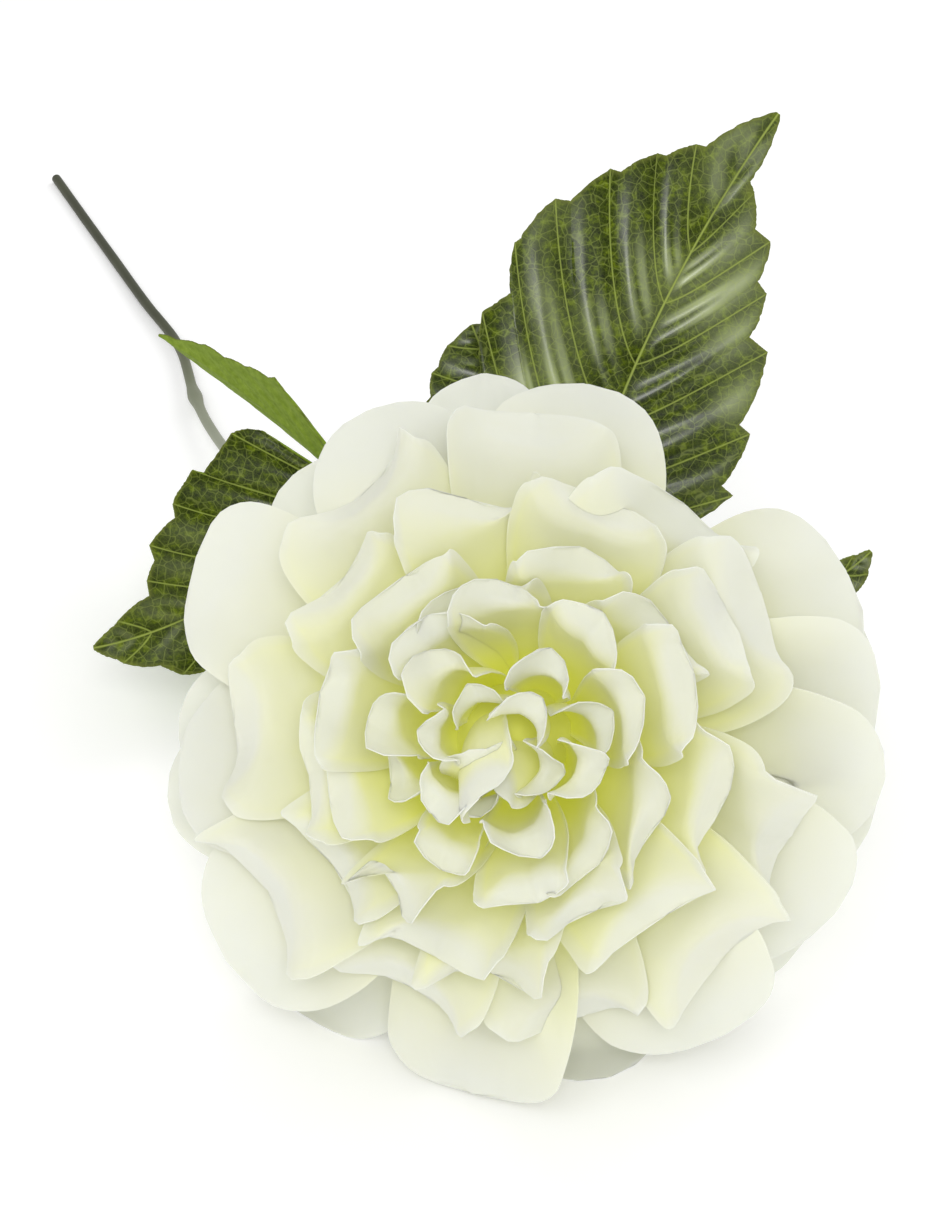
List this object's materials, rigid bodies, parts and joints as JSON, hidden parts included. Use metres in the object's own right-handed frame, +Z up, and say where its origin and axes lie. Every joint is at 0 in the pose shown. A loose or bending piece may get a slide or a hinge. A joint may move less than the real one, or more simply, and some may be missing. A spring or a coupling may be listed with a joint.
{
  "type": "dahlia flower",
  "caption": "Cut double dahlia with a white layered bloom, a bent neck, a long thin stem and toothed leaves, lying on a surface.",
  "frame": {"origin": "on the table, under the middle of the outline's box", "axes": "+Z up from the table, +Y along the lying stem from the bloom to the cut end, +X to the right of the face"},
  "size_m": [0.2468, 0.4296, 0.1541],
  "materials": {
    "petal_fabric": "matte",
    "leaf_fabric": "satin",
    "stem_plastic": "matte"
  },
  "bodies": {
    "root": {"bloom": "petal_fabric", "calyx": "stem_plastic", "stem": "stem_plastic", "leaf_spray_upper": "leaf_fabric", "leaf_spray_left": "leaf_fabric"}
  },
  "joints": []
}
